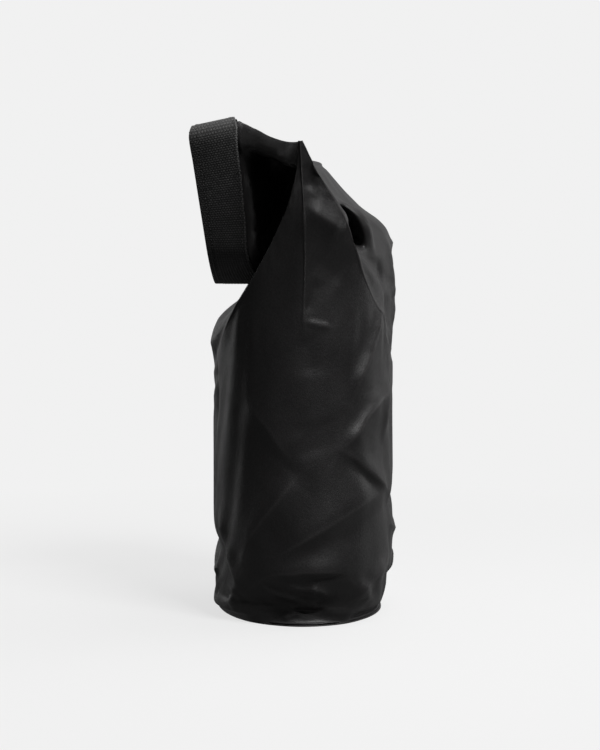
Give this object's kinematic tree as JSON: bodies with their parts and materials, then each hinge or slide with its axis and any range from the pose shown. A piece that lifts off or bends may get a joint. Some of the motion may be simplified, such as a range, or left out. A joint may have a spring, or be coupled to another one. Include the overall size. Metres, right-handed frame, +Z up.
{
  "type": "rope storage bag",
  "caption": "Tall roll-top storage bag of coated cloth on an oval base, its neck folded forward and its mouth webbing buckled into a carrying ring.",
  "frame": {"origin": "middle of the underside of the oval base, on the floor", "axes": "+Z up, -Y towards the front, where the mouth ring hangs, and X along the width and along the fold crease"},
  "size_m": [0.2864, 0.2001, 0.4887],
  "materials": {
    "coated_cloth": "thin black nylon cloth with a satin waterproof coating",
    "webbing": "heavy black ribbed webbing",
    "seam_tape": "smooth dark grey welded seam tape",
    "stiffener": "flexible black plastic strip",
    "buckle_plastic": "black moulded acetal"
  },
  "bodies": {
    "bag": {"base_panel": "coated_cloth", "base_seam_tape": "seam_tape", "front_panel": "coated_cloth", "rear_panel": "coated_cloth", "right_seam_tape": "seam_tape", "left_seam_tape": "seam_tape"},
    "collar": {"front_neck": "coated_cloth", "rear_neck": "coated_cloth", "outer_mouth_webbing": "webbing", "inner_mouth_webbing": "webbing", "mouth_stiffener": "stiffener", "plug_tab": "webbing", "socket_tab": "webbing", "buckle_socket": "buckle_plastic", "buckle_plug": "buckle_plastic"},
    "rear_release": {"rear_prong": "buckle_plastic"},
    "front_release": {"front_prong": "buckle_plastic"}
  },
  "joints": [
    {"name": "collar_fold", "type": "hinge", "parent": "bag", "child": "collar", "pos_m": [0, -0.003, 0.448], "axis": [-1, 0, 0], "range_deg": [0, 80]},
    {"name": "rear_prong_press", "type": "hinge", "parent": "collar", "child": "rear_release", "pos_m": [0.013, -0.07468, 0.48215], "axis": [0, -0.2079, 0.9781], "range_deg": [0, 12], "stiffness_Nm_per_rad": 0.3},
    {"name": "front_prong_press", "type": "hinge", "parent": "collar", "child": "front_release", "pos_m": [0.013, -0.09894, 0.47699], "axis": [0, 0.2079, -0.9781], "range_deg": [0, 12], "stiffness_Nm_per_rad": 0.3}
  ]
}
